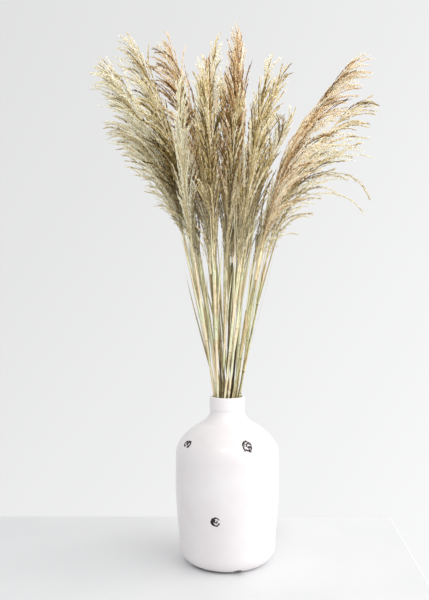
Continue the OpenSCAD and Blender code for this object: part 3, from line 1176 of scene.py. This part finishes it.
def add_branches(heap, i, points, ways, rng):
    """The branches of a plume and its strays. Returns their lines, directions, lengths, tones and
    pulls, and those of the stalk's own top, which carries threads too."""
    branches, reach, opening, droop, towards, paleness = STYLE[i]
    strays = np.array(STRAYS.get(i, np.zeros((0, 5))), float)
    out = np.array([math.cos(math.radians(towards)), math.sin(math.radians(towards)), 0])
    drooping = droop * (DROOP_OUT * out - DROOP_DOWN * UP)

    # where they leave the stalk
    share = (np.arange(branches) + rng.uniform(0, PLACE_VARY, branches)) / branches
    share -= WHORL_PULL * np.sin(2 * math.pi * WHORLS * share) / (2 * math.pi * WHORLS)
    share = BRANCHED_SHARE * share**BRANCH_CROWD
    share = np.concatenate([share, strays[:, 0]])
    stray = np.arange(len(share)) >= branches
    branches = len(share)
    start, way = spots_along(points[None], ways[None], 0, share)

    # which way they go
    spin = np.arange(branches) * BRANCH_TURN + rng.uniform(0, TURN_VARY, branches)
    side = turned(*across(way, OFF_STALK), spin[:, None])
    side = square_to(way, unit(side + droop * DROOP_OUT * out))
    stray_way = np.radians(strays[:, 1])
    side[stray] = np.stack([np.cos(stray_way), np.sin(stray_way), 0 * stray_way], axis=1)
    side = square_to(way, side)
    angle = np.radians(opening * rng.uniform(*OPENING_VARY, branches))
    angle[stray] = np.radians(strays[:, 2])
    heading = turned(way, side, angle[:, None])
    length = reach * (1 - BRANCH_SHORTER * share**BRANCH_SHORTER_POWER)
    length = length * rng.uniform(*LENGTH_VARY, branches)
    length *= np.interp(share, *BRANCH_AT_ROOT)
    length[stray] = strays[:, 3]
    pull = drooping * rng.uniform(*DROOP_VARY, (branches, 1))
    pull[stray] = strays[:, 4:] * (STRAY_OUT * side[stray] - STRAY_DOWN * UP)
    pull = pull + SPREAD_OUT * side * rng.uniform(0, 1, (branches, 1))
    lines, line_ways = bending_lines(start, heading, pull, length, BRANCH_STEPS)
    lines, kept = keep_inside(lines, BRANCH_SPARE)
    length = length * kept

    tone = rng.normal(paleness + BRANCH_PALE, BRANCH_VARY, branches)
    tone = tone + TOP_PALE * (share - TOP_PALE_FROM)
    # some branches low in the plume are painted dark, as painted shade inside it
    dark_share = np.interp(paleness, [0, 1], DARK_SHARE)
    dark_share = dark_share * np.interp(share, DARK_UP_TO, [1, DARK_LEFT])
    shaded = rng.uniform(0, 1, branches) < dark_share
    tone = np.clip(np.where(shaded, rng.normal(*DARK_TONE, branches), tone), 0.0, 1.0)
    add_tubes(heap, lines, np.linspace(*BRANCH_R, BRANCH_STEPS), tone - BRANCH_CORE)

    top = points[-BRANCH_STEPS:]
    lines = np.concatenate([lines, top[None]])
    line_ways = np.concatenate([line_ways, ways[None, -BRANCH_STEPS:]])
    length = np.append(length, np.linalg.norm(np.diff(top, axis=0), axis=1).sum())
    return lines, line_ways, length, np.append(tone, STALK_TONE), np.vstack([pull, drooping])


def add_threads(heap, lines, ways, length, tone, pull, rng):
    """Threads on each branch. Returns their lines, directions and tones."""
    parts = []
    for k in range(len(lines)):
        number = max(THREADS_LEAST, int(length[k] / THREAD_GAP))
        place = (np.arange(number) + rng.uniform(0, 1, number)) / number
        share = THREADS_FROM + THREADS_OVER * place
        start, way = spots_along(lines, ways, k, share)
        angle = np.radians(rng.uniform(*THREAD_OPENING, number))[:, None]
        head = turned(way, square_to(way, rng.normal(size=way.shape)), angle)
        size = np.interp(share, *THREAD_LENGTH) * (0.5 + 0.5 * min(1, length[k] / FULL_BRANCH))
        size = size * rng.uniform(*THREAD_LENGTH_VARY, number)
        # threads near the root of a branch are painted darker, as painted shade inside the plume
        inner = np.interp(share, [0, INNER_SHADE_TO], [1, 0])
        shade = tone[k] + rng.normal(0, THREAD_VARY, number) - INNER_SHADE * inner
        parts.append((start, head, np.broadcast_to(pull[k] * THREAD_PULL, (number, 3)), size, shade))
    starts, heads, pulls, sizes, tones = (np.concatenate(part) for part in zip(*parts, strict=True))
    threads, thread_ways = bending_lines(starts, heads, pulls, sizes, THREAD_STEPS)
    threads = keep_inside(threads, THREAD_SPARE)[0]
    radii = np.linspace(*THREAD_R, THREAD_STEPS)
    add_tubes(heap, threads, radii, np.clip(tones, THREAD_DARKEST, 1))
    return threads, thread_ways, tones


def build_plume(i, root, knee, tip, material, rng):
    """A panicle: a stalk, branches that rise from it and droop, threads on the branches, and husks."""
    points, ways = plume_axis(root, knee, tip)
    heap = Heap()
    stalk_r = np.interp(np.linspace(0, 1, AXIS_STEPS), *STALK_R)
    add_tubes(heap, points[None], stalk_r, STALK_TONE, STALK_SIDES)
    branches = add_branches(heap, i, points, ways, rng)
    threads, thread_ways, tones = add_threads(heap, *branches, rng)

    count = len(threads)
    share = (np.arange(HUSKS)[None] + rng.uniform(0, 1, (count, HUSKS))) / HUSKS
    spots, way = spots_along(threads, thread_ways, np.arange(count)[:, None], share)
    spots, way = spots.reshape(-1, 3), way.reshape(-1, 3)
    angle = np.radians(rng.uniform(*HUSK_OPENING, len(way)))[:, None]
    way = turned(way, square_to(way, rng.normal(size=way.shape)), angle)
    length = rng.uniform(*HUSK_LENGTH, len(way))
    width = rng.uniform(*HUSK_WIDTH, len(way))
    tone = np.clip(np.repeat(tones, HUSKS) + rng.normal(0, HUSK_VARY, len(way)), 0.0, 1)
    add_husks(heap, spots, way, length, width, tone)

    panicle = heap.mesh(named("panicle", i))
    hand_over(panicle, named("stem", i), named("plume", i), material)


def build_stems():
    culm_look = culm_material()
    looks = {slot: grass_material(f"dry_{slot}", colours) for slot, colours in TONES.items()}
    slots = {p["node"]: p["material_slot"] for p in frame["record"]["subparts"]}
    for i in range(1, STEM_COUNT + 1):
        rng = np.random.default_rng(STEM_SEED + i)
        foot, top, way, knee, tip = stem_line(i)
        slot = slots[named("plume", i)]
        build_culm(i, foot, top, way, culm_look, rng)
        build_plume(i, top, knee, tip, looks[slot], rng)


def build_table():
    corners = [
        (TABLE_LEFT, TABLE_FRONT),
        (TABLE_RIGHT_FRONT, TABLE_FRONT),
        (TABLE_RIGHT_BACK, TABLE_BACK),
        (TABLE_LEFT, TABLE_BACK),
    ]
    points = np.array([(x, y, z) for z in (-TABLE_THICK, 0) for x, y in corners])
    faces = np.array(
        [[3, 2, 1, 0], [4, 5, 6, 7], [0, 1, 5, 4], [1, 2, 6, 5], [2, 3, 7, 6], [3, 0, 4, 7]]
    )
    table = make_mesh("table", points, [faces], smooth=False)
    bevel = table.modifiers.new("edge", "BEVEL")
    bevel.width = TABLE_EDGE
    bevel.segments = TABLE_EDGE_STEPS
    shade = Shade("table_white")
    at = shade.place()
    colour = shade.ramp(shade.noise(at, TABLE_MOTTLE), TABLE_TONES)
    grain = shade.noise(at, TABLE_GRAIN)
    shade.bump(grain, TABLE_BUMP, strength=0.2)
    rough = shade.spread(grain, *TABLE_ROUGHNESS)
    table.data.materials.append(shade.set(Base_Color=colour, Roughness=rough))
    add_table_fill(table)


add_camera()
add_lights()
build_table()
build_vase()
build_stems()
